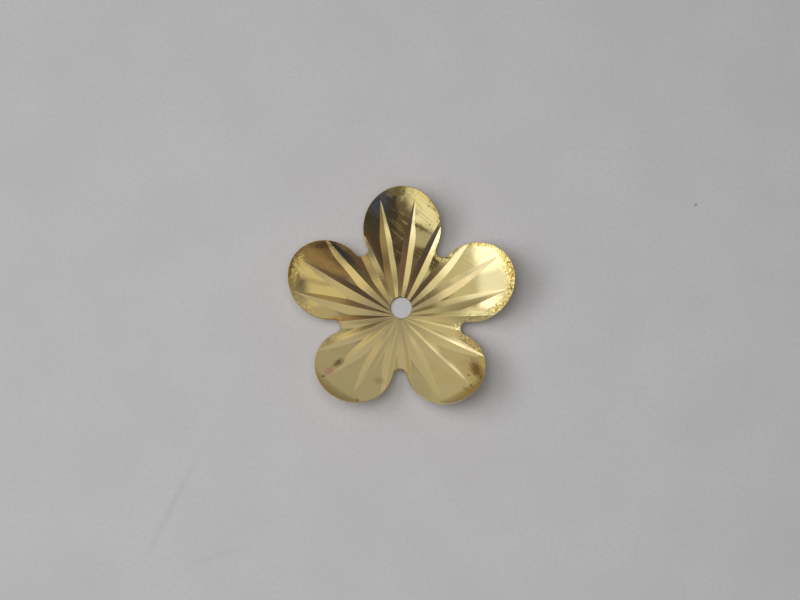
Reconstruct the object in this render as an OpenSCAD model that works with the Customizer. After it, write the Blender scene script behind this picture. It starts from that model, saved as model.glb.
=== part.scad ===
// Bead cap: one sheet of brass pressed into a dish with five round petals, with twenty-one V
// grooves cut into its hollow side and one hole for the thread. The hollow side faces +Z, and the cap
// stands on the flat ring around its hole. The origin is the middle of the hole at that ring.
// +Y points along the top petal. Lengths are in millimetres and angles in degrees.

/* [Sheet] */
// Thickness of the sheet
sheet = 0.5; // [0.45:0.05:0.8]
// Diameter of the thread hole
hole_d = 2.1; // [1.6:0.1:2.6]
// Diameter of the flat middle of the dish
seat_d = 3.2; // [2.8:0.1:3.6]

/* [Dish] */
// Radius of the dish's long curve in a section through the hole
dish_r = 25; // [22:1:30]
// Slope of the long curve where it leaves the flat middle
seat_slope = 12; // [10:1:14]
// Distance from the hole's axis at which the rim starts to turn up
rim_start = 10.2; // [10.2:0.1:10.7]
// Radius of the turned-up rim in that section
rim_r = 4; // [4:0.5:8]

/* [Petals] */
// Distance from the flower's middle to the middle of each petal's round end
petal_reach = 7.5; // [7.3:0.1:7.7]
// Diameter of each petal's round end
petal_d = 7.6; // [7.4:0.1:7.8]
// Diameter of the round notch between two petals
notch_d = 1.35; // [1.3:0.05:1.6]
// How far the flower's middle lies from the hole's axis, away from the top petal
flower_shift = 0.14; // [0:0.02:0.3]

/* [Grooves] */
// Width of a groove where it is widest
groove_w = 1.1; // [0.9:0.05:1.2]
// Tilt of a groove's two faces from the sheet
groove_tilt = 16; // [12:1:18]
// Distance from the hole's axis at which a groove is widest
groove_middle = 4.7; // [4.4:0.1:5]
// Distance from the hole's axis at which a groove runs out
groove_end = 10.1; // [9.6:0.1:10.1]
// Angle from the top petal to the first groove, clockwise
groove_turn = 118.5; // [110:0.1:127]
// Angle from each groove to the next, apart from the last few, which close the circle
groove_step = 17.8; // [17.2:0.1:18.2]
// Place of the point that all grooves are aimed at, right of the hole's axis
aim_x = -0.25; // [-0.4:0.02:0.4]
// Place of that point, towards the top petal from the hole's axis
aim_y = -0.78; // [-0.9:0.02:0]

/* [Hidden] */
$fn = 96;
petals = 5;
grooves = 21;
even_steps = 18;
closing_step = (360 - even_steps * groove_step) / (grooves - even_steps);
petal_step = 360 / petals;

// Middle of the long curve, then the rim's first slope and the middle of the rim's curve
dish_x = seat_d / 2 - dish_r * sin(seat_slope);
dish_z = sheet + dish_r * cos(seat_slope);
rim_slope = asin((rim_start - dish_x) / dish_r);
rim_x = dish_x + (dish_r - rim_r) * sin(rim_slope);
rim_z = dish_z - (dish_r - rim_r) * cos(rim_slope);

// The notch circle touches both petals beside it, which fixes its middle between them
notch_side = petal_reach * sin(petal_step / 2);
notch_reach = petal_reach * cos(petal_step / 2)
    + sqrt(pow((petal_d + notch_d) / 2, 2) - pow(notch_side, 2));

// A groove is the mark of a disc with a V edge, sunk into the dish along a straight line. The
// disc's radius is the one whose cut is groove_w wide at the middle and runs out at groove_end.
middle_slope = asin((groove_middle - dish_x) / dish_r);
span = asin((groove_end - dish_x) / dish_r) - middle_slope;
deep_r = dish_r + groove_w / 2 * tan(groove_tilt);
disc_r = (pow(deep_r, 2) + pow(dish_r, 2) - 2 * dish_r * deep_r * cos(span))
    / (2 * (deep_r - dish_r * cos(span)));
// Middle of the disc, and half its thickness
disc_x = dish_x + (deep_r - disc_r) * sin(middle_slope);
disc_z = dish_z - (deep_r - disc_r) * cos(middle_slope);
disc_half = 1.2;
// A groove is kept inside a wedge this wide to each side of its line
groove_reach = 20;
// Extra notch width, a hair's breadth, so that its circle crosses both petals and not just meets them
notch_overlap = 0.004;
// Larger than the whole cap
big = 30;

// Half section of the dish's hollow, grown outwards by grow
module hollow_section(grow) {
    intersection() {
        union() {
            // the long curve, up to the line on which the rim's curve takes over
            intersection() {
                translate([dish_x, dish_z]) circle(dish_r + grow, $fn = 360);
                polygon([
                    [dish_x, dish_z],
                    [dish_x + 2 * big * sin(rim_slope), dish_z - 2 * big * cos(rim_slope)],
                    [-big, -big],
                    [-big, dish_z]
                ]);
            }
            translate([rim_x, rim_z]) circle(rim_r + grow, $fn = 180);
        }
        // from the flat middle up to the height of the rim curve's middle
        translate([0, sheet - grow]) square([big, rim_z - sheet + grow]);
    }
}

// The dish before its outline is cut
module dish() {
    rotate_extrude($fn = 180)
        difference() {
            hollow_section(sheet);
            hollow_section(0);
        }
}

// Place of a point at the given distance and clockwise angle from the top petal's line
function at(distance, turn) = [distance * sin(turn), distance * cos(turn)];

// A block with the outline of the five petals: round ends on arms, with a notch between two
module flower() {
    difference() {
        union() {
            linear_extrude(height = big)
                polygon([for (i = [0 : petals - 1], half = [0, 1])
                    at(half == 0 ? petal_reach : notch_reach, (i + half / 2) * petal_step)]);
            for (i = [0 : petals - 1])
                translate(at(petal_reach, i * petal_step)) cylinder(h = big, d = petal_d);
        }
        for (i = [0 : petals - 1])
            translate(concat(at(notch_reach, (i + 0.5) * petal_step), -1))
                cylinder(h = big + 2, d = notch_d + notch_overlap, $fn = 48);
    }
}

// The disc with a V edge, upright in the plane y = 0
module v_disc() {
    edge = disc_r - disc_half * tan(groove_tilt);
    rotate([90, 0, 0])
        rotate_extrude($fn = 360)
            polygon([[0, -disc_half], [edge, -disc_half], [disc_r, 0],
                [edge, disc_half], [0, disc_half]]);
}

// Direction of groove i: even steps first, then the shorter ones that close the circle
function turn_of(i) = groove_turn
    + min(i, even_steps) * groove_step + max(i - even_steps, 0) * closing_step;

// What the disc cuts away along the line from the aim point in the given direction
module groove(turn) {
    start = aim_x * sin(turn) + aim_y * cos(turn);
    side = aim_y * sin(turn) - aim_x * cos(turn);
    wedge_half = (rim_start - start) * tan(groove_reach);
    rotate([0, 0, 90 - turn])
        translate([0, side, 0])
            intersection() {
                translate([disc_x, 0, disc_z]) v_disc();
                translate([0, 0, -1]) linear_extrude(height = big)
                    polygon([[start, 0], [rim_start, -wedge_half], [rim_start, wedge_half]]);
            }
}

module cap() {
    color("gold")
        difference() {
            intersection() {
                dish();
                translate([0, -flower_shift, -1]) flower();
            }
            for (i = [0 : grooves - 1])
                groove(turn_of(i));
            translate([0, 0, -1]) cylinder(h = big, d = hole_d);
        }
}

cap();
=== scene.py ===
# %% [markdown]
# # A gilt bead cap on pale paper
# The object is one stamping of brass sheet, half a millimetre thick and 22 mm across: five round
# petals, pressed into a shallow dish, with twenty-one V grooves cut into the hollow side and a
# thread hole in the middle. Nothing moves and nothing is joined on, so the whole model is one piece of
# thin metal, and nearly all of its looks come from what polished gold mirrors.

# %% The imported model
import math

import bpy
import numpy as np
from mathutils import Matrix, Vector
from mathutils.geometry import delaunay_2d_cdt


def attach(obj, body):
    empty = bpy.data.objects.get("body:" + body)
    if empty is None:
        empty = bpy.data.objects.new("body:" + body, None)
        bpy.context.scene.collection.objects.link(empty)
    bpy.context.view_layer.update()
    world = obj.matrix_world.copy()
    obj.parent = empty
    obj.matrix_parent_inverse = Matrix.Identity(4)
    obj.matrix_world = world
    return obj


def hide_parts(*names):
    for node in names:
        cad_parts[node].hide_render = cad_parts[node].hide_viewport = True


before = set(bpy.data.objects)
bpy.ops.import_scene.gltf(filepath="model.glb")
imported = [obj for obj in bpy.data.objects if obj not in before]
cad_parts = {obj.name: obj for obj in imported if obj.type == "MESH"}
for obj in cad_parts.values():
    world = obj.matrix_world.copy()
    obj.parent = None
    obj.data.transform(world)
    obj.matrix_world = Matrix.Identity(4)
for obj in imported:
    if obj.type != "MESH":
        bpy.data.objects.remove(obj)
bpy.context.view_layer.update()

# %% [markdown]
# ## The measures
# They are those of the CAD part, in millimetres and degrees: a section through the dish, the
# circles of the flower, and the disc with a V edge whose mark is a groove. Turns are clockwise
# from +Y, seen from above, where the top petal lies. Everything is worked out in millimetres and
# turned to metres when a mesh is made.

# %% Measures of the sheet, the dish, the flower and the grooves
MM = 0.001
SHEET, HOLE_R, SEAT_R = 0.5, 1.05, 1.6
DISH_R, SEAT_SLOPE, RIM_START, RIM_R = 25.0, 12.0, 10.2, 4.0
PETAL_REACH, PETAL_R, FLOWER_SHIFT = 7.5, 3.8, -0.14
# The circle that touches both petals, and the notch, a hair larger, so that it crosses them
TOUCH_R, NOTCH_R = 0.675, 0.677
GROOVE_W, GROOVE_TILT, GROOVE_MIDDLE, GROOVE_END, GROOVE_REACH = 1.1, 16.0, 4.7, 10.1, 20.0
# The grooves are aimed at this point, not at the hole's axis
AIM = np.array([-0.25, -0.78])
PETALS, GROOVES = 5, 21
GROOVE_TURN, GROOVE_STEP, EVEN_STEPS = 118.5, 17.8, 18
CLOSING_STEP = (360 - EVEN_STEPS * GROOVE_STEP) / (GROOVES - EVEN_STEPS)
# No point of the cap is as far from the axis as this
BEYOND = 12.0


def sin(angle):
    return np.sin(np.radians(angle))


def cos(angle):
    return np.cos(np.radians(angle))


def tan(angle):
    return np.tan(np.radians(angle))


DISH_X = SEAT_R - DISH_R * sin(SEAT_SLOPE)
DISH_Z = SHEET + DISH_R * cos(SEAT_SLOPE)
RIM_SLOPE = np.degrees(np.arcsin((RIM_START - DISH_X) / DISH_R))
RIM_X = DISH_X + (DISH_R - RIM_R) * sin(RIM_SLOPE)
RIM_Z = DISH_Z - (DISH_R - RIM_R) * cos(RIM_SLOPE)

# The disc's radius is the one whose mark is GROOVE_W wide at the middle and runs out at the end.
# squared_length is that of the line from the mark's deepest point to its end.
middle_slope = np.degrees(np.arcsin((GROOVE_MIDDLE - DISH_X) / DISH_R))
span = np.degrees(np.arcsin((GROOVE_END - DISH_X) / DISH_R)) - middle_slope
deep_r = DISH_R + GROOVE_W / 2 * tan(GROOVE_TILT)
squared_length = deep_r**2 + DISH_R**2 - 2 * DISH_R * deep_r * cos(span)
DISC_R = squared_length / (2 * (deep_r - DISH_R * cos(span)))
DISC_X = DISH_X + (deep_r - DISC_R) * sin(middle_slope)
DISC_Z = DISH_Z - (deep_r - DISC_R) * cos(middle_slope)
print(f"rim turns up at a slope of {RIM_SLOPE:.1f} degrees, groove disc radius {DISC_R:.2f} mm")

# %% [markdown]
# ## The hollow side as a height over the plan
# Seen from above no part of the sheet hides another, so its hollow side is a height over x and y.
# The dish is a section turned about the hole's axis. Each groove is the lower half of a disc with
# a V edge, and the surface is whichever of them lies lowest. That is how the real one is made:
# pressed first, and then touched twenty-one times by a spinning cutter.
#
# Twenty-one boolean cuts in a dense mesh would give the same shape with ragged edges and long thin
# triangles. A formula for the height costs nothing to ask again, so creases and edges can be found
# from it first, and the mesh laid along them.

# %% Height of the dish
def dish_height(r, grow=0.0):
    """Height of the dish at r from the axis: flat, then a long arc, then the rim's tighter arc.
    With grow it is the same section moved out by that much, which is the sheet's other side."""
    r = np.asarray(r, float)
    long_arc = DISH_Z - np.sqrt(np.maximum((DISH_R + grow) ** 2 - (r - DISH_X) ** 2, 0))
    rim_arc = RIM_Z - np.sqrt(np.maximum((RIM_R + grow) ** 2 - (r - RIM_X) ** 2, 1e-6))
    turned = r > DISH_X + (DISH_R + grow) * sin(RIM_SLOPE)
    return np.maximum(np.where(turned, rim_arc, long_arc), SHEET - grow)


print("dish in mm at 2, 6 and 11 mm from the axis:", np.round(dish_height([2, 6, 11]), 3))

# %% Waves and dents of the pressed sheet
WAVES, WAVE_SLOPE, WAVE_SEED = 9, 0.007, 7
draws = np.random.default_rng(WAVE_SEED)
wave_turns = draws.uniform(0, 360, WAVES)
wave_lengths = draws.uniform(2.0, 6.0, WAVES)
wave_starts = draws.uniform(0, 360, WAVES)


def press_waves(x, y):
    """Unevenness of the pressed sheet: a sum of plane waves 2 to 6 mm long in nine directions, each
    as high as gives it the same steepest slope. It grows from nothing at 3 mm from the axis to its
    full height at 7 mm, and at the far left it is a quarter as high."""
    z = np.zeros(np.shape(x))
    for turn, length, start in zip(wave_turns, wave_lengths, wave_starts):
        height = WAVE_SLOPE * length / (2 * np.pi)
        z = z + height * sin((x * cos(turn) + y * sin(turn)) / length * 360 + start)
    return z * np.clip((np.hypot(x, y) - 3) / 4, 0, 1) * np.clip((x + 10) / 4, 0.25, 1)


# Dents and dings: place, half length, half width (mm), turn of the length (degrees, anticlockwise
# from +X), depth (mm)
DENTS = [
    ("dent by the rim, lower right", 6.9, -5.9, 0.45, 0.30, 20, 0.020),
    ("dent beside it", 7.5, -6.9, 0.40, 0.30, -30, 0.020),
    ("rub under the top petal's edge", 1.8, 7.5, 0.90, 0.25, -30, 0.012),
    ("ding on the lower left petal", -1.9, -7.6, 0.35, 0.25, 10, 0.006),
    ("soft hollow in the top petal", -0.6, 10.0, 0.70, 0.50, 80, 0.016),
    ("soft hollow below it", -0.3, 8.7, 0.60, 0.40, 60, 0.012),
]


def dent_depth(x, y):
    """Depth of the dents: each falls off as exp(-(a^2 + b^2)), a and b being the distances along
    and across it in half lengths and half widths."""
    z = np.zeros(np.shape(x))
    for _, px, py, half_long, half_wide, turn, depth in DENTS:
        a = ((x - px) * cos(turn) + (y - py) * sin(turn)) / half_long
        b = ((y - py) * cos(turn) - (x - px) * sin(turn)) / half_wide
        z = z + depth * np.exp(-np.minimum(a**2 + b**2, 40))
    return z


def land_height(x, y, grow=0.0):
    """Height of the sheet as it was pressed, before it was cut, at the plan's point x, y."""
    return dish_height(np.hypot(x, y), grow) + press_waves(x, y) - dent_depth(x, y)


print(f"waves and dents move (8, 0) by {1000 * (land_height(8, 0) - dish_height(8)):.1f} micrometres")


# %% Grooves, and the hollow side with them
def groove_frame(k):
    """Unit vector along groove k, unit vector to its clockwise side, and the line's offset to it.
    Grooves follow each other in even steps, and the last few stand closer, to close the circle."""
    k = k % GROOVES
    turn = GROOVE_TURN + min(k, EVEN_STEPS) * GROOVE_STEP + max(k - EVEN_STEPS, 0) * CLOSING_STEP
    along = np.array([sin(turn), cos(turn)])
    across = np.array([cos(turn), -sin(turn)])
    return along, across, AIM @ across


def cut_height(u, v):
    """Height of the V disc's mark, u along the groove from the axis and v to the side of its line:
    a circle in the upright plane whose radius shrinks by the tangent of the tilt with the side."""
    radius = DISC_R - np.abs(v) * tan(GROOVE_TILT)
    return DISC_Z - np.sqrt(np.maximum(radius**2 - (u - DISC_X) ** 2, 0))


# What a triangle of the sheet is, where it isn't a groove's face, whose number is 2 x groove + side
DISH, CUT_EDGE, UNDERSIDE = -1, -2, -3


def hollow_height(x, y):
    """Height of the hollow side, the lowest of the dish and all marks, and which face it is."""
    z = land_height(x, y)
    face = np.full(z.shape, DISH)
    for k in range(GROOVES):
        along, across, offset = groove_frame(k)
        u = x * along[0] + y * along[1]
        v = x * across[0] + y * across[1] - offset
        start = AIM @ along
        near = (u > start) & (u < RIM_START) & (np.abs(v) < (u - start) * tan(GROOVE_REACH))
        cut = np.where(near, cut_height(u, v), np.inf)
        lower = cut < z
        z = np.where(lower, cut, z)
        face = np.where(lower, 2 * k + (v > 0), face)
    return z, face


degrees = np.arange(360)
ring, ring_face = hollow_height(6 * sin(degrees), 6 * cos(degrees))
print(f"at 6 mm: {ring.min():.3f} to {ring.max():.3f} mm high, {(ring_face >= 0).mean():.0%} of it cut")

# %% [markdown]
# ## The outline
# Ten arcs: five petal ends of 3.8 mm radius, and between them five small notches that touch both
# petals. They are a punch's outline, which a toolmaker also lays out from circles. Moving it
# inwards only changes the two radii, so a line parallel to the edge costs nothing. The cut edge
# needs one, because a sheared edge is never quite sharp.

# %% Petal and notch circles, and how far a point is from the edge
petal_turns = np.arange(PETALS) * 360 / PETALS
notch_turns = petal_turns + 180 / PETALS
notch_side = PETAL_REACH * sin(180 / PETALS)
NOTCH_REACH = PETAL_REACH * cos(180 / PETALS) + np.sqrt((PETAL_R + TOUCH_R) ** 2 - notch_side**2)
petal_outward = np.stack([sin(petal_turns), cos(petal_turns)], 1)
notch_outward = np.stack([sin(notch_turns), cos(notch_turns)], 1)
petal_centres = PETAL_REACH * petal_outward + np.array([0, FLOWER_SHIFT])
notch_centres = NOTCH_REACH * notch_outward + np.array([0, FLOWER_SHIFT])
# Half the angle of a petal's round end, and of a notch, at the points where the two circles touch
touch = petal_centres[0] - notch_centres[0]
petal_half = 180 - np.degrees(np.arctan2(-touch[0], touch[1]))
notch_half = petal_half - 180 / PETALS
OUTLINE_PITCH = 0.07


def outline(inset, pitch):
    """The closed outline, clockwise, moved inwards by inset, with points about pitch apart."""
    rows = []
    for turn, petal, notch in zip(petal_turns, petal_centres, notch_centres):
        radius = PETAL_R - inset
        n = int(round(2 * np.radians(petal_half) * PETAL_R / pitch))
        a = turn + np.linspace(-petal_half, petal_half, n, endpoint=False)
        rows.append(petal + radius * np.stack([sin(a), cos(a)], 1))
        radius = NOTCH_R + inset
        n = int(round(2 * np.radians(notch_half) * NOTCH_R / pitch)) + 4
        a = turn + 180 / PETALS + 180 + np.linspace(notch_half, -notch_half, n, endpoint=False)
        rows.append(notch + radius * np.stack([sin(a), cos(a)], 1))
    return np.concatenate(rows)


def nearest_centre(p, centres):
    """For each point its nearest centre's number, the vector from that centre, and its length."""
    away = p[:, None] - centres
    reach = np.linalg.norm(away, axis=2)
    number = reach.argmin(1)
    return number, away[np.arange(len(p)), number], np.maximum(reach.min(1), 1e-9)


def edge_distance(x, y):
    """Distance to the outline, and the unit vector that points out of the sheet there: to the
    nearest petal's circle where the point faces its arc, or to the nearest notch's if that is less."""
    p = np.stack([x, y], -1)
    petal, away, reach = nearest_centre(p, petal_centres)
    facing = (away * petal_outward[petal]).sum(1) > reach * cos(petal_half)
    gap, out = np.where(facing, PETAL_R - reach, 1e9), away / reach[:, None]
    _, away, reach = nearest_centre(p, notch_centres)
    nearer = reach - NOTCH_R < gap
    gap = np.where(nearer, reach - NOTCH_R, gap)
    return gap, np.where(nearer[:, None], -away / reach[:, None], out)


loop = outline(0, OUTLINE_PITCH)
print(f"{len(loop)} outline points, from {loop.min(0).round(2)} to {loop.max(0).round(2)}")

# %% [markdown]
# ## Creases
# Bright-cut grooves are mirrors with knife-sharp limits, so the mesh needs an edge along each of
# them. There are three kinds: the valley of each groove, the line where a groove's face meets the
# dish, and, near the hole, the ridge where it meets the next groove. The last two are found by
# halving the step to the side until the two heights agree, for all points of a line at once.

# %% Valleys, facet limits and ridges as lines of points
# A line starts well inside the hole, and a face ends nearer to its valley than FACE_LIMIT
LINE_START, FACE_LIMIT, HALVINGS, CREASE_PITCH = 0.62, 1.3, 40, 0.09


def face_limit(k, side, u):
    """Distance from groove k's valley, on one side, at which its face ends, for each u along it,
    the points there, and whether a ridge ends it, so that the next groove begins there."""
    along, across, offset = groove_frame(k)
    next_along, next_across, next_offset = groove_frame(k + side)
    low, high = np.zeros_like(u), np.full_like(u, FACE_LIMIT)
    for _ in range(HALVINGS):
        v = (low + high) / 2
        p = u[:, None] * along + (offset + side * v)[:, None] * across
        dish = land_height(*p.T)
        other = cut_height(p @ next_along, p @ next_across - next_offset)
        inside = cut_height(u, v) < np.minimum(dish, other)
        low, high = np.where(inside, v, low), np.where(inside, high, v)
    return v, p, other < dish


def crease_lines(pitch):
    """Open lines of points in the plan along every crease, each about pitch apart."""
    lines = []
    for k in range(GROOVES):
        along, across, offset = groove_frame(k)
        u = np.arange(LINE_START, GROOVE_END, pitch)
        valley = u[:, None] * along + offset * across
        lines.append(valley[cut_height(u, 0 * u) < land_height(*valley.T) - 1e-5])
        for side in (1, -1):
            v, p, ridge = face_limit(k, side, u)
            # two grooves share a ridge, so only the one on its anticlockwise side lays it
            lines.append(p[(v > 1e-3) & ((side > 0) | ~ridge)])
    return lines


def within(points, inset):
    """True for points of the plan that lie on the sheet, at least inset from its edges."""
    gap, _ = edge_distance(*points.T)
    r = np.hypot(*points.T)
    return (gap > inset) & (r > HOLE_R + inset) & (r < BEYOND)


creases = crease_lines(CREASE_PITCH)
print(f"{len(creases)} crease lines with {sum(map(len, creases))} points")

# %% [markdown]
# ## One net of triangles for both sides
# A grid in two directions can't follow a lobed outline, a round hole and sixty creases that cross
# both. So the plan is filled with evenly spaced points and joined by a constrained Delaunay
# triangulation, which keeps the outline, the hole and the creases as edges. The net is used twice:
# lifted to the hollow side, and turned over for the underside.

# %% Evenly spaced points
PITCH = 0.1
# Size of the small roll over the outline's edge, and over the hole's
EDGE_ROUND, HOLE_ROUND = 0.05, 0.04
# Lower left and upper right corner of the grid of points
GRID_FROM, GRID_TO = (-11.5, -10.0), (11.5, 12.0)
# How far the grid's points keep from the edges and from the creases, in pitches
EDGE_CLEAR, CREASE_CLEAR = 0.4, 0.45


def even_points(pitch):
    """Points on a grid of equal triangles over the whole plan, kept clear of edges and creases."""
    rows = np.arange(GRID_FROM[1], GRID_TO[1], pitch * np.sqrt(3) / 2)
    columns = np.arange(GRID_FROM[0], GRID_TO[0], pitch)
    x, y = np.meshgrid(columns, rows)
    x = x + (np.arange(len(rows))[:, None] % 2) * pitch / 2
    p = np.stack([x.ravel(), y.ravel()], 1)
    p = p[within(p, EDGE_ROUND + EDGE_CLEAR * pitch)]
    # a point is dropped where a crease's point lies in or next to its cell
    for q in creases:
        q = q[np.hypot(*q.T) < BEYOND]
        if len(q) == 0:
            continue
        box = (p > q.min(0) - pitch).all(1) & (p < q.max(0) + pitch).all(1)
        near = np.zeros(len(p), bool)
        d = np.abs(p[box][:, None] - q[None]).astype(np.float32)
        near[box] = np.hypot(d[..., 0], d[..., 1]).min(1) < CREASE_CLEAR * pitch
        p = p[~near]
    return p


grid = even_points(PITCH)
print(f"{len(grid)} points, {PITCH} mm apart")

# %% Lines that the net keeps
# Neighbouring points of a crease that are further apart than this aren't joined
CREASE_GAP = 0.5
# Angle between the hole's points
HOLE_STEP = 2.0


def fixed_lines():
    """Points and edges that the net has to keep: the outline moved in by the edge's rounding, the
    hole, and the creases."""
    rim = outline(EDGE_ROUND, OUTLINE_PITCH)
    turns = np.arange(0, 360, HOLE_STEP)
    hole = (HOLE_R + HOLE_ROUND) * np.stack([sin(turns), cos(turns)], 1)
    points, edges = [rim, hole], []
    for first, n in ((0, len(rim)), (len(rim), len(hole))):
        i = np.arange(n)
        edges.append(np.stack([first + i, first + (i + 1) % n], 1))
    count = len(rim) + len(hole)
    for q in creases:
        # lines run one point past the edges, so that they cross the outline and end on it
        ok = within(q, 0)
        ok = ok | np.roll(ok, 1) | np.roll(ok, -1)
        q = q[ok]
        if len(q) < 2:
            continue
        i = np.arange(len(q) - 1)
        step = np.linalg.norm(q[1:] - q[:-1], axis=1)
        pair = np.stack([count + i, count + i + 1], 1)[step < CREASE_GAP]
        points.append(q)
        edges.append(pair)
        count += len(q)
    return np.concatenate(points), np.concatenate(edges)


line_points, line_edges = fixed_lines()
print(f"{len(line_points)} points and {len(line_edges)} edges of the outline, hole and creases")


# %% The net
def net():
    """Points and triangles of the plan, all triangles anticlockwise seen from above."""
    points = [Vector(p) for p in np.concatenate([line_points, grid]).tolist()]
    made = delaunay_2d_cdt(points, line_edges.tolist(), [], 0, 1e-6, False)
    flat = np.array([tuple(v) for v in made[0]])
    tris = np.array(made[2])
    middle = flat[tris].mean(1)
    gap, _ = edge_distance(*middle.T)
    r = np.hypot(*middle.T)
    tris = tris[(gap > EDGE_ROUND) & (r > HOLE_R + HOLE_ROUND) & (r < BEYOND)]
    # points that no triangle uses are left out, and the rest numbered again
    used = np.unique(tris)
    number = np.full(len(flat), -1)
    number[used] = np.arange(len(used))
    flat, tris = flat[used], number[tris]
    a, b, c = (flat[tris[:, i]] for i in range(3))
    turned = (b - a)[:, 0] * (c - a)[:, 1] - (b - a)[:, 1] * (c - a)[:, 0] < 0
    tris[turned] = tris[turned][:, ::-1]
    return flat, tris


flat, tris = net()
print(f"net: {len(flat)} points, {len(tris)} triangles")

# %% [markdown]
# ## From the net to a closed sheet
# The net is lifted to the hollow side and, turned over, to the underside. A strip round the
# outline and one round the hole join the two: a small roll over the edge, the straight cut and a
# roll at the bottom, as a punch and die leave them. The rolls are a quarter circle that is taken
# off the height, so they fit the sloping rim as well as the flat middle.

# %% The closed sheet
ROLL = np.array([18.0, 36, 54, 72, 90])
# Limits of the net that are nearer to the axis than this are the hole's
NEAR_HOLE = 2.0


def sides_of(triangles):
    """The triangles' sides as pairs of point numbers."""
    return np.concatenate([triangles[:, [0, 1]], triangles[:, [1, 2]], triangles[:, [2, 0]]])


def side_numbers(sides, points):
    """One number for each side between two of so many points, the same in either direction."""
    return np.sort(sides, 1) @ np.array([points, 1])


def edge_rows(p, out, at_hole):
    """Rows of points from the hollow side's edge down the cut to the underside's. Each stands
    outside the net's limit by the roll times sin(angle), and lies below the hollow side, or above
    the underside, by the roll times 1 - cos(angle)."""
    roll = np.where(at_hole, HOLE_ROUND, EDGE_ROUND)
    upper, lower = [], []
    for angle in ROLL:
        q = p + out * (roll * sin(angle))[:, None]
        drop = roll * (1 - cos(angle))
        upper.append(np.column_stack([q, hollow_height(*q.T)[0] - drop]))
        lower.append(np.column_stack([q, land_height(*q.T, SHEET) + drop]))
    return upper + lower[::-1]


def sheet_mesh():
    """Points in mm, triangles, and for each triangle what it is. Both sides are the net at their
    own heights, and strips of two triangles per side close it along its limits."""
    n = len(flat)
    top, _ = hollow_height(*flat.T)
    low = land_height(*flat.T, SHEET)
    _, face = hollow_height(*flat[tris].mean(1).T)

    # sides that belong to one triangle only are the limits of the net
    sides = sides_of(tris)
    _, index, uses = np.unique(side_numbers(sides, n), return_index=True, return_counts=True)
    limits = sides[index[uses == 1]]
    edge = np.unique(limits)
    place = np.full(n, -1)
    place[edge] = np.arange(len(edge))

    p = flat[edge]
    r = np.hypot(*p.T)
    at_hole = r < NEAR_HOLE
    _, out = edge_distance(*p.T)
    out[at_hole] = -p[at_hole] / r[at_hole, None]
    rows = edge_rows(p, out, at_hole)
    points = np.concatenate([np.column_stack([flat, top]), np.column_stack([flat, low]), *rows])

    ids = [2 * n + j * len(edge) + np.arange(len(edge)) for j in range(len(rows))]
    ids = [edge, *ids, edge + n]
    a, b = place[limits[:, 0]], place[limits[:, 1]]
    strip = []
    for one, two in zip(ids[:-1], ids[1:]):
        strip.append(np.stack([one[b], one[a], two[a]], 1))
        strip.append(np.stack([one[b], two[a], two[b]], 1))
    strip = np.concatenate(strip)
    triangles = np.concatenate([tris, tris[:, ::-1] + n, strip])
    kind = np.concatenate([face, np.full(len(tris), UNDERSIDE), np.full(len(strip), CUT_EDGE)])
    return points, triangles, kind


points, triangles, kind = sheet_mesh()
print(f"sheet: {len(points)} points, {len(triangles)} triangles")


# %% The sheet as a Blender mesh
def mesh_object(name, points, triangles):
    """A mesh object from points in millimetres and triangles."""
    mesh = bpy.data.meshes.new(name)
    mesh.from_pydata(points * MM, [], triangles)
    mesh.validate()
    mesh.shade_smooth()
    thing = bpy.data.objects.new(name, mesh)
    bpy.context.scene.collection.objects.link(thing)
    return thing


cap = mesh_object("pressed_petal_cap", points, triangles)
print(f"{cap.name}: {len(cap.data.polygons)} faces, {len(cap.data.edges)} edges")

# %% Sharp edges
# An edge is sharp where the two triangles beside it are different faces of the hollow side
numbers = side_numbers(sides_of(triangles), len(points))
owner = np.tile(kind, 3)
order = np.lexsort((owner, numbers))
numbers, owner = numbers[order], owner[order]
# The sheet is closed, so each side comes twice, the lower kind first, and all kinds from DISH
# upwards are faces of the hollow side
differs = (numbers[1:] == numbers[:-1]) & (owner[1:] != owner[:-1]) & (owner[:-1] >= DISH)
ends = np.zeros(2 * len(cap.data.edges), np.int32)
cap.data.edges.foreach_get("vertices", ends)
is_sharp = np.isin(side_numbers(ends.reshape(-1, 2), len(points)), numbers[1:][differs])
sharp = cap.data.attributes.new("sharp_edge", "BOOLEAN", "EDGE")
sharp.data.foreach_set("value", is_sharp)
print(f"{int(is_sharp.sum())} sharp edges of {len(is_sharp)}")

# %% What the finishes read: distance to the outline, and a map that runs along each groove
# The attribute stops at this distance in mm, because no finish reaches further in
EDGE_ZONE = 9.0
# In the map each groove's strip lies this many mm across from the one before
STRIP = 3.0
gap, _ = edge_distance(*points[:, :2].T)
to_edge = cap.data.attributes.new("rim_mm", "FLOAT", "POINT")
to_edge.data.foreach_set("value", np.clip(gap, 0, EDGE_ZONE).astype(np.float32))

# triangles outside the grooves keep the plan as their map
plan = points[triangles][:, :, :2].copy()
for k in range(GROOVES):
    along, across, offset = groove_frame(k)
    mine = kind // 2 == k
    p = plan[mine]
    plan[mine] = np.stack([p @ along, p @ across - offset + STRIP * k], -1)
groove_map = cap.data.uv_layers.new(name="along_groove")
groove_map.data.foreach_set("uv", plan.reshape(-1).astype(np.float32))
print(f"map of {GROOVES} strips, {(kind >= 0).sum()} triangles of groove faces in them")

# %% [markdown]
# ## Helpers for the finishes
# A finish is a small tree of nodes. One function adds every node and hands back its output, which
# can be led straight into the next node. All patterns are laid out in millimetres, so that a size
# in the tree is a size on the metal.

# %% Colour from a hex code, and one function that adds a node
def colour(code):
    """sRGB hex code to linear light, by the standard's two-part curve."""
    s = np.array([int(code[i : i + 2], 16) / 255 for i in (0, 2, 4)])
    return (*np.where(s <= 0.04045, s / 12.92, ((s + 0.055) / 1.055) ** 2.4).tolist(), 1.0)


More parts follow.
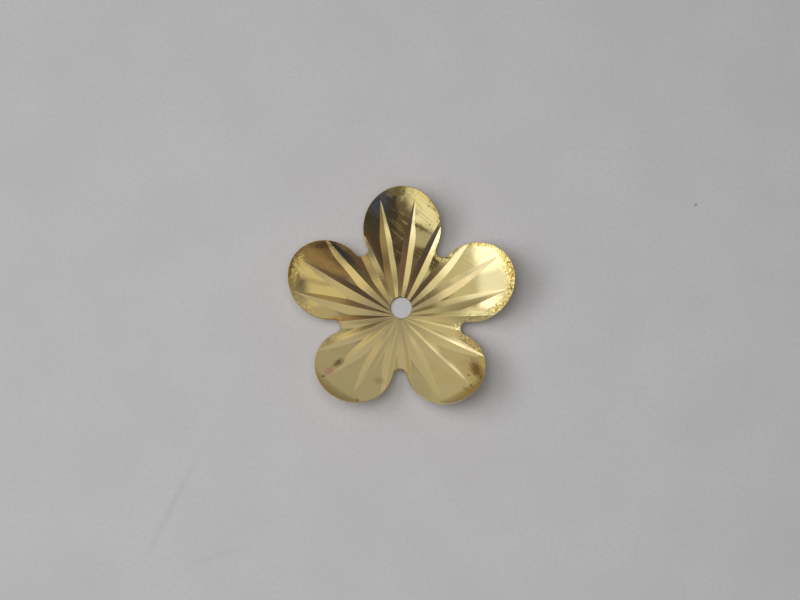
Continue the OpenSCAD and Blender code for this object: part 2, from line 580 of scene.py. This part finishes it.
def add(tree, sort, inputs=(), out=0, **settings):
    """Adds a node and gives back its output out, by number or name. inputs fills its sockets, in
    their order or as a table by number or name, with values or with other nodes' outputs."""
    node = tree.nodes.new("ShaderNode" + sort)
    for name, value in settings.items():
        setattr(node, name, value)
    for name, value in inputs.items() if isinstance(inputs, dict) else enumerate(inputs):
        if isinstance(value, bpy.types.NodeSocket):
            tree.links.new(value, node.inputs[name])
        else:
            node.inputs[name].default_value = value
    return node.outputs[out] if node.outputs else None


# A Map Range node takes value, low, high, start and end: start below low, end above high, and with
# this setting a soft step between. Without start and end it goes from 0 to 1.
SOFT = {"interpolation_type": "SMOOTHSTEP"}
# A Mix node for colours: socket 0 is the share of the colour at 7 over the one at 6
MIX = {"out": 2, "data_type": "RGBA"}


def finish(name):
    """A new material with an empty tree."""
    material = bpy.data.materials.new(name)
    material.use_nodes = True
    material.node_tree.nodes.clear()
    return material, material.node_tree


def close(tree, surface, rough, normal, metallic=1.0):
    """Ends a finish in the shader of its surface, which is a metal unless metallic is 0."""
    inputs = {"Base Color": surface, "Metallic": metallic, "Roughness": rough, "Normal": normal}
    add(tree, "OutputMaterial", [add(tree, "BsdfPrincipled", inputs)])


# %% Places in millimetres, and relief
LEVEL = (1, 1, 0)


def plan_mm(tree):
    """The piece's own coordinates in millimetres."""
    where = add(tree, "TexCoord", out="Object")
    return add(tree, "Mapping", {"Vector": where, "Scale": (1000, 1000, 1000)})


def laid(tree, where, turn, size, place=(0.0, 0.0)):
    """Coordinates that are 1 at the given sizes from place, with the first axis turned by turn."""
    moved = add(tree, "Mapping", {"Vector": where, "Location": (-place[0], -place[1], 0)})
    turned = add(tree, "Mapping", {"Vector": moved, "Rotation": (0, 0, -math.radians(turn))})
    return add(tree, "Mapping", {"Vector": turned, "Scale": (1 / size[0], 1 / size[1], 1 / size[-1])})


def relief(tree, steps):
    """A normal from several patterns of height on top of each other, each with its depth in mm."""
    normal = None
    for height, depth in steps:
        inputs = {"Height": height, "Distance": depth * MM, "Strength": 1.0}
        if normal is not None:
            inputs["Normal"] = normal
        normal = add(tree, "Bump", inputs)
    return normal


# %% [markdown]
# ## Burnished gilt brass
# The lands between the grooves are brass, pressed between polished dies, burnished in a barrel and
# plated with gold. To the eye that is a mirror with a soft haze. It shows fine handling scratches,
# stains where the plating is thin, and a bend near the rim, where stretching has roughened the
# grain of the brass so that it glitters.

# %% Stains and specks, and patches of painted shade and reflection
# The gold of the cut faces, and a darker copy of it for the lands: painted shade that makes the cut
# faces show brighter than the lands
GOLD, GOLD_LAND = colour("F9E19F"), colour("E2CD92")

# Each has its place, half length, half width (mm), turn of the length (degrees, anticlockwise from
# +X), strength and colour
STAINS_AND_PAINTED_SHADE = [
    ("brown stain by the rim, lower right", 7.35, -6.6, 1.15, 0.55, -62, 0.85, "7A5A33"),
    ("olive end of the groove, lower left", -5.95, -5.95, 0.70, 0.34, 43, 0.85, "7C6A35"),
    ("copper showing through beyond it", -6.75, -6.85, 0.65, 0.38, 43, 0.75, "DDA083"),
    ("speck at its end", -7.35, -7.45, 0.16, 0.12, 30, 0.9, "6E5230"),
    ("rub on the top petal", 1.85, 7.55, 0.95, 0.26, -32, 0.75, "6B552C"),
    ("speck on the top petal", 2.65, 9.75, 0.10, 0.08, 0, 0.9, "6B552C"),
    ("speck below it", 2.50, 9.40, 0.09, 0.07, 0, 0.8, "6B552C"),
    ("speck beside the rub", 2.68, 7.75, 0.09, 0.09, 0, 0.8, "5E4A26"),
    ("speck, lower right", 6.57, -7.12, 0.10, 0.10, 0, 0.9, "5E4A26"),
    ("speck below it", 6.80, -8.15, 0.09, 0.14, 0, 0.9, "6B552C"),
    ("rust-coloured fleck near it", 6.35, -8.55, 0.45, 0.16, -35, 0.55, "A97F45"),
    ("cloudy patch, lower left", -2.0, -7.6, 0.55, 0.40, 0, 0.40, "9A8550"),
    ("speck by the lower left edge", -4.05, -9.75, 0.16, 0.12, 0, 0.7, "7C6A35"),
    ("worn plating by the left notch", -7.2, -3.6, 0.45, 0.35, 0, 0.5, "8C7A40"),
    # painted reflection: a paler, greyer gold on the two lower rims stands for the pale colour that the
    # bend mirrors there
    ("painted grey reflection on the lower left rim", -5.7, -9.35, 2.6, 0.45, -36, 0.4, "D3D0B4"),
    ("painted grey reflection on the lower right rim", 4.9, -10.0, 2.2, 0.4, 22, 0.6, "D3D0B4"),
    # painted shade: darker gold on a groove face and on the left petal's upper rim stands for the dark
    # reflections there
    ("dark face of a groove, left petal", -5.8, 5.0, 1.9, 0.5, -42, 0.7, "7A7062"),
    ("painted brown shade on the left petal's upper rim", -7.4, 5.5, 1.7, 0.4, 4, 0.6, "6A5A44"),
]

# Patches of painted shade on the grooves' faces alone
PAINTED_FACE_SHADE = [
    ("middle of the right petal", 7.3, -0.4, 4.2, 1.4, 2, 0.72, "A3955F"),
    ("outer end of the groove by the notch, upper left", -3.2, 5.5, 1.2, 0.6, -65, 0.75, "6A5A46"),
]

# Stripes of painted shade on the face of a groove that is turned from the light: groove, side of its
# line, from and to in mm from the axis, middle's distance from the line, strength, colour
PAINTED_SHADED_FACES = [
    ("lower right, first groove", 0, -1, 0.5, 10.0, 0.42, 1.0, "BCA872"),
    ("lower right, second groove", 1, -1, 0.5, 10.0, 0.42, 1.0, "C6B47A"),
    ("bottom notch", 3, -1, 0.5, 10.0, 0.28, 1.0, "D9C48B"),
    ("bottom notch, left of it", 4, -1, 0.5, 10.0, 0.28, 1.0, "D9C48B"),
    ("lower left petal, right side", 5, -1, 0.5, 10.0, 0.28, 1.0, "E1CC91"),
    ("lower left petal, inner end", 6, 1, 0.5, 5.0, 0.28, 1.0, "C4B077"),
    ("left notch, inner end", 7, 1, 0.5, 6.5, 0.28, 1.0, "C6B27C"),
    ("left notch, other face", 7, -1, 0.5, 5.5, 0.28, 0.8, "CDBA84"),
    ("left petal's lower groove, inner end", 8, 1, 0.5, 5.0, 0.28, 1.0, "C4B077"),
    ("left petal's lower groove, other face", 8, -1, 0.5, 5.5, 0.28, 0.8, "C8B47E"),
    ("right petal's lower groove, inner end", 19, -1, 0.5, 5.0, 0.28, 1.0, "C0AE78"),
    ("right petal's lower groove, outer end", 19, -1, 7.0, 11.0, 0.28, 0.8, "C6B47A"),
    ("right notch", 20, -1, 0.5, 10.0, 0.42, 1.0, "BCA872"),
]
STRIPE_HALF = 0.28


def painted_shaded_face_rows():
    """The stripes of painted shade as rows like the stains', in the map along the grooves, where groove
    k lies k strips across.
    """
    rows = []
    for name, k, side, start, end, off, strength, code in PAINTED_SHADED_FACES:
        middle, half_long = (start + end) / 2, (end - start) / 2
        rows.append((name, middle, STRIP * k + side * off, half_long, STRIPE_HALF, 0, strength, code))
    return rows


# How far noise moves a stain's limits, as a share of its size
RAGGED = 2.4


def lay_stains_and_shade(tree, where, surface, stains, ragged):
    """Lays stains, and patches of painted shade, over a colour. A stain's mask falls from 1 to 0 as the
    distance from its middle, in half lengths and half widths, grows from 0.3 to 1.3; ragged moves these
    limits by noise."""
    noise = add(tree, "TexNoise", {"Vector": where, "Scale": 1 / 0.12, "Detail": 4.0})
    level = add(tree, "Mapping", {"Vector": where, "Scale": LEVEL})
    near, far = 0.3 - ragged / 2, 1.3 - ragged / 2
    for _, x, y, half_long, half_wide, turn, strength, code in stains:
        spot = laid(tree, level, turn, (half_long, half_wide), (x, y))
        reach = add(tree, "VectorMath", [spot], "Value", operation="LENGTH")
        edge = add(tree, "Math", [noise, -ragged, reach], operation="MULTIPLY_ADD")
        share = add(tree, "MapRange", [edge, near, far, strength, 0.0], **SOFT)
        surface = add(tree, "Mix", {0: share, 6: surface, 7: colour(code)}, **MIX)
    return surface


# the duller parts of the grooves' faces that this counts are painted shade
print(f"{len(STAINS_AND_PAINTED_SHADE)} stains, {len(PAINTED_FACE_SHADE) + len(PAINTED_SHADED_FACES)} duller parts of the grooves' faces")


# %% Scratches, and grain that glitters
def hairlines(tree, where, turn, width, share):
    """Thin lines about 3 mm long at one angle: noise drawn out along them, of which only the peaks
    are kept."""
    drawn = laid(tree, where, turn, (3.0, width))
    lines = add(tree, "TexNoise", {"Vector": drawn, "Scale": 1.0, "Detail": 1.0})
    return add(tree, "MapRange", [lines, 0.5 + share, 0.62 + share], **SOFT)


# Real grains are a few hundredths of a millimetre across; these are coarser, so that they show
GRAIN = 0.11


def grainy(tree, where, normal, amount):
    """Leans a normal another way in each grain of the metal, as much as amount says, for glitter:
    the grain's random vector, from -0.5 to 0.5, times 0.4 of the amount, is added to the normal."""
    grains = add(tree, "TexVoronoi", {"Vector": where, "Scale": 1 / GRAIN}, "Color")
    lean = add(tree, "VectorMath", [grains, (0.5, 0.5, 0.5)], operation="SUBTRACT")
    most = add(tree, "Math", [amount, 0.4], operation="MULTIPLY")
    lean = add(tree, "VectorMath", {0: lean, "Scale": most}, operation="SCALE")
    leant = add(tree, "VectorMath", [normal, lean], operation="ADD")
    return add(tree, "VectorMath", [leant], operation="NORMALIZE")


def glittering(tree, x, y):
    """How much opened grain glitters at x, y: fully on the right, a third as much at the far left,
    and hardly between them and at the lowest edge."""
    right = add(tree, "MapRange", [x, 0.0, 6.0, 0.08, 1.0], **SOFT)
    left = add(tree, "MapRange", [x, -9.0, -6.0, 0.35, 0.0], **SOFT)
    side = add(tree, "Math", [right, left], operation="MAXIMUM")
    height = add(tree, "MapRange", [y, -8.5, -5.5, 0.15, 1.0], **SOFT)
    return add(tree, "Math", [side, height], operation="MULTIPLY")


def burred(tree, where):
    """1 where the punch has burred the edge: in a band along the outline, on the right, which is
    half a millimetre wide at the top petal and twice that at the two petals lower down."""
    x, y = (add(tree, "SeparateXYZ", [where], axis) for axis in "XY")
    rim = add(tree, "Attribute", out="Fac", attribute_name="rim_mm")
    width = add(tree, "MapRange", [y, -1.0, 5.0, 1.0, 0.5], **SOFT)
    share = add(tree, "Math", [rim, width], operation="DIVIDE")
    near = add(tree, "MapRange", [share, 0.2, 1.0, 1.0, 0.0], **SOFT)
    return add(tree, "Math", [near, glittering(tree, x, y)], operation="MULTIPLY")


# %% The lands
def gilt_land():
    """A hazy mirror, crossed by scratches, whose colour and roughness change at the bend."""
    material, tree = finish("burnished_gilt_brass")
    where = plan_mm(tree)
    level = add(tree, "Mapping", {"Vector": where, "Scale": LEVEL})
    x, y = (add(tree, "SeparateXYZ", [where], axis) for axis in "XY")
    # the bend begins about 10 mm from the axis, unevenly, and up to half a millimetre nearer to it
    # where the lower petals glitter
    reach = add(tree, "VectorMath", [level], "Value", operation="LENGTH")
    blotch = add(tree, "TexNoise", {"Vector": where, "Scale": 1 / 0.5, "Detail": 3.0})
    uneven = add(tree, "Math", [blotch, 0.8, reach], operation="MULTIPLY_ADD")
    sides = glittering(tree, x, y)
    early = add(tree, "MapRange", [y, -1.0, 3.0, 0.5, 0.0], **SOFT)
    early = add(tree, "Math", [sides, early], operation="MULTIPLY")
    uneven = add(tree, "Math", [uneven, early], operation="ADD")
    bend = add(tree, "MapRange", [uneven, 10.4, 11.2], **SOFT)
    opened = add(tree, "Math", [bend, sides], operation="MULTIPLY")
    glitter = add(tree, "Math", [opened, burred(tree, where)], operation="MAXIMUM")
    # gold plate varies a little in colour, and where it glitters it is painted a deeper yellow, which
    # stands for the gold-on-gold reflection there
    cloud = add(tree, "TexNoise", {"Vector": where, "Scale": 1 / 1.6})
    share = add(tree, "MapRange", [cloud, 0.4, 0.7, 0.0, 0.5], **SOFT)
    surface = add(tree, "Mix", {0: share, 6: GOLD_LAND, 7: colour("DAC888")}, **MIX)
    share = add(tree, "Math", [glitter, 0.7], operation="MULTIPLY")
    surface = add(tree, "Mix", {0: share, 6: surface, 7: colour("E3C468")}, **MIX)
    surface = lay_stains_and_shade(tree, where, surface, STAINS_AND_PAINTED_SHADE, RAGGED)
    # haze all over, and two sets of scratches, which are deeper in the upper half
    haze = add(tree, "TexNoise", {"Vector": where, "Scale": 1 / 0.45, "Detail": 3.0})
    upper = add(tree, "MapRange", [y, 1.0, 6.0, 0.15, 1.0], **SOFT)
    steps = [(haze, 0.0015)]
    for turn in (-38, 47):
        scratches = hairlines(tree, level, turn, 0.07, 0.13)
        steps.append((add(tree, "Math", [scratches, upper], operation="MULTIPLY"), 0.0035))
    normal = grainy(tree, where, relief(tree, steps), glitter)
    rough = add(tree, "MapRange", [haze, 0.3, 0.75, 0.03, 0.07], **SOFT)
    rough = add(tree, "Math", [bend, 0.05, rough], operation="MULTIPLY_ADD")
    # on the two lower petals the bend is matt, less so on the right
    low = add(tree, "Math", [x, 0.3, y], operation="MULTIPLY_ADD")
    low = add(tree, "MapRange", [low, -7.5, -4.5, 0.28, 0.0], **SOFT)
    matt = add(tree, "Math", [bend, low], operation="MULTIPLY")
    rough = add(tree, "Math", [matt, rough], operation="ADD")
    close(tree, surface, rough, normal)
    return material


# %% [markdown]
# ## Bright-cut gilt brass
# A groove's faces are not pressed but cut, by one pass of a disc with a polished diamond or carbide
# edge. They come out flatter and brighter than anything around them, with faint lines along the
# cut and a faint ripple across it from the tool's chatter.

# %% The grooves' faces
def gilt_cut():
    """A flat mirror with tool lines along the cut, and patches and stripes of painted shade."""
    material, tree = finish("bright_cut_gilt_brass")
    along = add(tree, "UVMap", uv_map="along_groove")
    where = plan_mm(tree)
    # real tool lines are a few micrometres apart; these are 0.05 mm, so that they show, and the
    # chatter's ripples are 0.35 mm apart
    lines = laid(tree, along, 0, (4.0, 0.05))
    lines = add(tree, "TexNoise", {"Vector": lines, "Scale": 1.0})
    chatter = laid(tree, along, 0, (0.35, 3.0))
    chatter = add(tree, "TexNoise", {"Vector": chatter, "Scale": 1.0, "Detail": 1.0})
    normal = relief(tree, [(lines, 0.0008), (chatter, 0.004)])
    normal = grainy(tree, where, normal, burred(tree, where))
    rough = add(tree, "MapRange", [lines, 0.35, 0.7, 0.15, 0.22], **SOFT)
    surface = lay_stains_and_shade(tree, along, GOLD, painted_shaded_face_rows(), 0.0)
    surface = lay_stains_and_shade(tree, where, surface, PAINTED_FACE_SHADE, 0.0)
    surface = lay_stains_and_shade(tree, where, surface, STAINS_AND_PAINTED_SHADE, RAGGED)
    close(tree, surface, rough, normal)
    return material


# %% [markdown]
# ## Sheared edge and pressed back
# The outline and the hole were punched: the cut is half burnished and half torn, which glints in
# dots. The back is left as it was pressed: duller, with a fine pebble from the die's surface and
# the first draw of the sheet.

# %% The cut edge and the underside
def gilt_edge():
    """Two golds in the dots of the torn metal, rougher where it is torn, and painted dark in the hole,
    for the shade that falls there.
    """
    material, tree = finish("sheared_gilt_brass_edge")
    where = plan_mm(tree)
    torn = laid(tree, where, 0, (0.1, 0.1, 0.4))
    torn = add(tree, "TexNoise", {"Vector": torn, "Scale": 1.0, "Detail": 3.0})
    rough = add(tree, "MapRange", [torn, 0.35, 0.65, 0.18, 0.36], **SOFT)
    share = add(tree, "MapRange", [torn, 0.40, 0.60], **SOFT)
    surface = add(tree, "Mix", {0: share, 6: colour("E0C985"), 7: colour("BCA568")}, **MIX)
    # the hole's wall is narrow, and is painted dark for the shade that falls in it
    reach = add(tree, "VectorMath", [where], "Value", operation="LENGTH")
    painted_hole_shade = add(tree, "MapRange", [reach, 1.5, 3.0, 0.8, 0.0], **SOFT)
    surface = add(tree, "Mix", {0: painted_hole_shade, 6: surface, 7: colour("5A4526")}, **MIX)
    close(tree, surface, rough, relief(tree, [(torn, 0.014)]))
    return material


def gilt_back():
    """A blotchy, duller gold with a fine pebble and faint lines from drawing the sheet."""
    material, tree = finish("pressed_gilt_brass_back")
    where = plan_mm(tree)
    level = add(tree, "Mapping", {"Vector": where, "Scale": LEVEL})
    pebble = add(tree, "TexNoise", {"Vector": where, "Scale": 1 / 0.25, "Detail": 3.0})
    blotch = add(tree, "TexNoise", {"Vector": where, "Scale": 1 / 2.5, "Detail": 3.0})
    share = add(tree, "MapRange", [blotch, 0.4, 0.7, 0.0, 0.6], **SOFT)
    surface = add(tree, "Mix", {0: share, 6: GOLD_LAND, 7: colour("D8B768")}, **MIX)
    rough = add(tree, "MapRange", [blotch, 0.3, 0.7, 0.2, 0.3], **SOFT)
    drawn = hairlines(tree, level, 25, 0.08, 0.1)
    close(tree, surface, rough, relief(tree, [(pebble, 0.006), (drawn, 0.0015)]))
    return material


for material in (gilt_land(), gilt_cut(), gilt_edge(), gilt_back()):
    cap.data.materials.append(material)
    print(f"{material.name}: {len(material.node_tree.nodes)} nodes")
# the four finishes' slots, in the order above
slots = np.select([kind >= 0, kind == CUT_EDGE, kind == UNDERSIDE], [1, 2, 3], 0)
cap.data.polygons.foreach_set("material_index", slots.astype(np.int32))

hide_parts("cap")
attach(cap, "root")

# %% [markdown]
# ## The paper it lies on
# A sheet of matt, slightly grey paper. It is one flat face, because paper shows no edge or fold in this
# view, and its faint tooth, a few flecks and the painted shade of two faint creases are in its finish.

# %% Floor
HALF_SHEET = 2000.0
# Marks on the paper, in the same columns as the stains on the gold
MARKS = [
    ("dark speck", 28.8, 10.7, 0.16, 0.13, 0, 0.8, "8F8A86"),
    ("pale speck", -12.4, 17.8, 0.14, 0.10, 30, 0.5, "F2F1F0"),
    # the two creases are painted shade, darker lines on the flat paper
    ("faint crease", -22.0, -20.0, 6.0, 0.35, 64, 0.16, "B9B6B6"),
    ("faint crease beside it", -17.5, -24.5, 4.0, 0.30, 20, 0.12, "B9B6B6"),
]


def matt_paper():
    """Pale grey, mottled 9 mm wide, with a tooth of 0.35 mm and a few marks."""
    material, tree = finish("matt_paper")
    where = plan_mm(tree)
    tooth = add(tree, "TexNoise", {"Vector": where, "Scale": 1 / 0.35, "Detail": 3.0})
    mottle = add(tree, "TexNoise", {"Vector": where, "Scale": 1 / 9.0, "Detail": 3.0})
    share = add(tree, "MapRange", [mottle, 0.3, 0.7], **SOFT)
    surface = add(tree, "Mix", {0: share, 6: colour("E1DFE1"), 7: colour("E6E5E6")}, **MIX)
    share = add(tree, "MapRange", [tooth, 0.3, 0.7, 0.0, 0.35], **SOFT)
    surface = add(tree, "Mix", {0: share, 6: surface, 7: colour("D6D3D3")}, **MIX)
    surface = lay_stains_and_shade(tree, where, surface, MARKS, 1.0)
    close(tree, surface, 0.9, relief(tree, [(tooth, 0.02)]), metallic=0.0)
    return material


paper_corners = np.array([[-1, -1, 0], [1, -1, 0], [1, 1, 0], [-1, 1, 0.0]]) * HALF_SHEET
floor = mesh_object("paper_sheet", paper_corners, np.array([[0, 1, 2], [0, 2, 3]]))
floor.data.materials.append(matt_paper())
print(f"paper {2 * HALF_SHEET * MM:.0f} m wide")

# %% [markdown]
# ## The room that the gold mirrors
# Polished gold has hardly any colour of its own: it shows the room, tinted. So the room is painted
# into the world as soft-edged patches, each with its direction, size and light: a pale wall, a
# bright window with its frame, dark shelves, and the dark ceiling above. Real shelves and walls
# would do the same, but patches cost no light bounces and are easily moved until each reflection
# lies where it should. A direction is a turn clockwise from +Y and an angle down from straight up.

# %% Patches of the room
# name, turn, down, half turn, half down, soft edge (degrees), light
ROOM = [
    ("pale wall", 20, 80, 62, 38, 20, (0.445, 0.445, 0.465)),
    ("its shaded top", 15, 44, 65, 6, 4, (0.32, 0.32, 0.35)),
    ("its rail", 15, 54, 65, 4, 4, (0.45, 0.45, 0.46)),
    ("bright corner", 64, 55, 15, 6, 5, (0.52, 0.50, 0.46)),
    ("ceiling over it", 322, 44, 40, 7, 8, (0.33, 0.33, 0.38)),
    ("pillar", 82.5, 49, 8.5, 10, 5, (0.73, 0.70, 0.56)),
    ("lit door frame", 97, 70, 5, 22, 5, (0.76, 0.72, 0.56)),
    ("dark door", 89.5, 81, 5, 18, 2, (0.28, 0.25, 0.19)),
    ("gap in the door", 90, 71, 3, 2, 1.5, (0.68, 0.63, 0.48)),
    ("brown shelf", 108, 55, 5, 37, 5, (0.33, 0.24, 0.17)),
    ("its dark side", 115, 55, 5, 37, 3, (0.20, 0.15, 0.12)),
    ("shelf's end", 114, 79, 6, 16, 4, (0.19, 0.16, 0.16)),
    ("top of the shelves", 107, 33, 18, 6, 5, (0.32, 0.28, 0.26)),
    ("dark shelf", 134, 43, 20, 19, 6, (0.145, 0.108, 0.115)),
    ("olive curtain", 126, 58, 7, 13, 4, (0.34, 0.30, 0.22)),
    ("dark gap", 165, 35, 20, 11, 4, (0.085, 0.065, 0.075)),
    ("shade, upper part", 162, 50, 15, 9, 6, (0.06, 0.06, 0.075)),
    ("blue shade, lower part", 164, 66, 5.5, 17, 5, (0.06, 0.085, 0.22)),
    ("dark lintel", 187, 43, 12, 6, 3, (0.13, 0.11, 0.10)),
    ("white board", 192.5, 73, 8.5, 22, 4, (1.02, 1.05, 0.94)),
    ("strip light", 200, 49.5, 11, 6, 4, (1.02, 1.08, 1.06)),
    ("strip above it", 200, 38.5, 8, 3.5, 3, (0.54, 0.54, 0.52)),
    ("ceiling by the window", 238, 37, 22, 12, 6, (0.60, 0.62, 0.56)),
    ("dark beam", 213, 33, 24, 3.2, 2, (0.12, 0.10, 0.08)),
    ("window's left part", 226, 60, 11, 12, 6, (1.12, 1.20, 1.42)),
    ("window", 258, 70, 21, 22, 12, (1.12, 1.20, 1.42)),
    ("bright sky, one pane", 250, 72, 9, 19, 9, (2.0, 2.1, 2.45)),
    ("bright sky, next pane", 282, 57, 7, 4, 6, (2.1, 2.15, 2.45)),
    ("window's top", 257, 43.5, 32, 6, 8, (0.70, 0.71, 0.65)),
    ("wall beside the window", 301, 69, 14, 21, 5, (0.48, 0.47, 0.48)),
    ("low pane", 288, 71, 10, 7, 4, (0.98, 1.02, 1.18)),
    ("small lamp", 292, 52, 7, 5, 4, (0.95, 0.95, 1.0)),
    ("cupboard", 330, 76, 15, 30, 9, (0.54, 0.53, 0.50)),
    ("cupboard's edge", 321, 78, 3, 16, 4, (0.50, 0.45, 0.32)),
    ("pale picture", 338, 72, 3, 4, 4, (0.53, 0.53, 0.56)),
]
CEILING = (0.17, 0.155, 0.15)


def patch(tree, below, angles, turn, down, half_turn, half_down, soft, light):
    """Lays a soft-edged patch over the room: its middle's direction, half its size in both angles,
    and the width of its edge, in degrees. The turn is wrapped, so a patch may cross +Y."""
    masks = []
    for angle, middle, half in zip(angles, (turn, down), (half_turn, half_down)):
        off = add(tree, "Math", [angle, -math.radians(middle)], operation="ADD")
        off = add(tree, "Math", [off, math.pi, -math.pi], operation="WRAP")
        off = add(tree, "Math", [off], operation="ABSOLUTE")
        near, far = math.radians(half - soft / 2), math.radians(half + soft / 2)
        masks.append(add(tree, "MapRange", [off, near, far, 1.0, 0.0], **SOFT))
    mask = add(tree, "Math", masks, operation="MULTIPLY")
    return add(tree, "Mix", {0: mask, 6: below, 7: (*light, 1)}, **MIX)


# %% World
# Camera rays see a plain pale backdrop, diffuse surfaces an even dim room, and gold the patches
BACKDROP, DIM = (0.42, 0.42, 0.43, 1), (0.11, 0.11, 0.11, 1)
world = bpy.data.worlds.new("room")
world.use_nodes = True
world.cycles.sampling_method = "NONE"
bpy.context.scene.world = world
tree = world.node_tree
tree.nodes.clear()
ray = add(tree, "TexCoord", out="Generated")
x, y, z = (add(tree, "SeparateXYZ", [ray], axis) for axis in "XYZ")
azimuth = add(tree, "Math", [x, y], operation="ARCTAN2")
zenith = add(tree, "Math", [z], operation="ARCCOSINE")
room = (*CEILING, 1)
for _, *shape, light in ROOM:
    room = patch(tree, room, (azimuth, zenith), *shape, light)
for ray_kind, light in (("Is Diffuse Ray", DIM), ("Is Camera Ray", BACKDROP)):
    seen = add(tree, "LightPath", out=ray_kind)
    room = add(tree, "Mix", {0: seen, 6: room, 7: light}, **MIX)
add(tree, "OutputWorld", [add(tree, "Background", [room, 1.0])])
print(f"room of {len(ROOM)} patches, {len(tree.nodes)} nodes")

# %% [markdown]
# ## Light on the paper
# The shadow tells where the light is: it falls to the right and is very soft, so the light is a
# wide window on the left. A second, weaker and smaller one hangs close above the cap, and makes
# the paper round it slightly lighter than at the picture's corners. Both are hidden from mirror
# reflections, because the room's patches stand for them there.

# %% Lamps
def lamp(name, turn, down, distance, size, power):
    """A rectangular lamp at distance from the origin in the direction turn, down, facing it.
    Distance and size are in metres, and the power in watts."""
    data = bpy.data.lights.new(name, "AREA")
    data.shape, data.size, data.size_y, data.energy = "RECTANGLE", size[0], size[1], power
    thing = bpy.data.objects.new(name, data)
    bpy.context.scene.collection.objects.link(thing)
    toward = Vector((sin(down) * sin(turn), sin(down) * cos(turn), cos(down)))
    thing.location = toward * distance
    thing.rotation_mode = "QUATERNION"
    thing.rotation_quaternion = toward.to_track_quat("Z", "Y")
    thing.visible_camera = thing.visible_glossy = False
    print(f"{name}: {power} W from {distance} m away")


lamp("window_light", 268, 34, 0.42, (0.24, 0.20), 0.46)
lamp("ceiling_light", 225, 7, 0.19, (0.08, 0.08), 0.108)

# %% [markdown]
# ## Camera
# The picture was taken from almost straight above, about ten degrees off towards -Y, and turned by
# less than a degree. The scale and the hole's place in the picture fix the rest. The distance is
# an arm's length less a bit, and the lens follows from it.

# %% Camera
PX_PER_MM, DISTANCE, ELEVATION, TURN = 10.26, 300.0, 80.0, 0.81
HOLE_PX = np.array([400.6, 306.8])
PICTURE_PX, SENSOR = np.array([800, 600]), 36.0
right = np.array([cos(TURN), sin(TURN), 0])
forward = np.array([-sin(TURN), cos(TURN), 0])
up = forward * sin(ELEVATION) + np.array([0, 0, cos(ELEVATION)])
away = -forward * cos(ELEVATION) + np.array([0, 0, sin(ELEVATION)])
hole_off = (HOLE_PX - (PICTURE_PX - 1) / 2) / PX_PER_MM
aim = np.array([0, 0, SHEET]) - right * hole_off[0] + up * hole_off[1]
optics = bpy.data.cameras.new("camera")
optics.sensor_width = SENSOR
optics.lens = float(PX_PER_MM * DISTANCE * SENSOR / PICTURE_PX[0])
optics.clip_start, optics.clip_end = 0.01, 10
camera = bpy.data.objects.new("camera", optics)
bpy.context.scene.collection.objects.link(camera)
camera.location = Vector((aim + away * DISTANCE) * MM)
camera.rotation_mode = "QUATERNION"
camera.rotation_quaternion = Matrix(np.stack([right, up, away], 1).tolist()).to_quaternion()
bpy.context.scene.camera = camera
bpy.context.scene.view_settings.view_transform = "Standard"
print(f"lens {optics.lens:.1f} mm at {DISTANCE:.0f} mm")
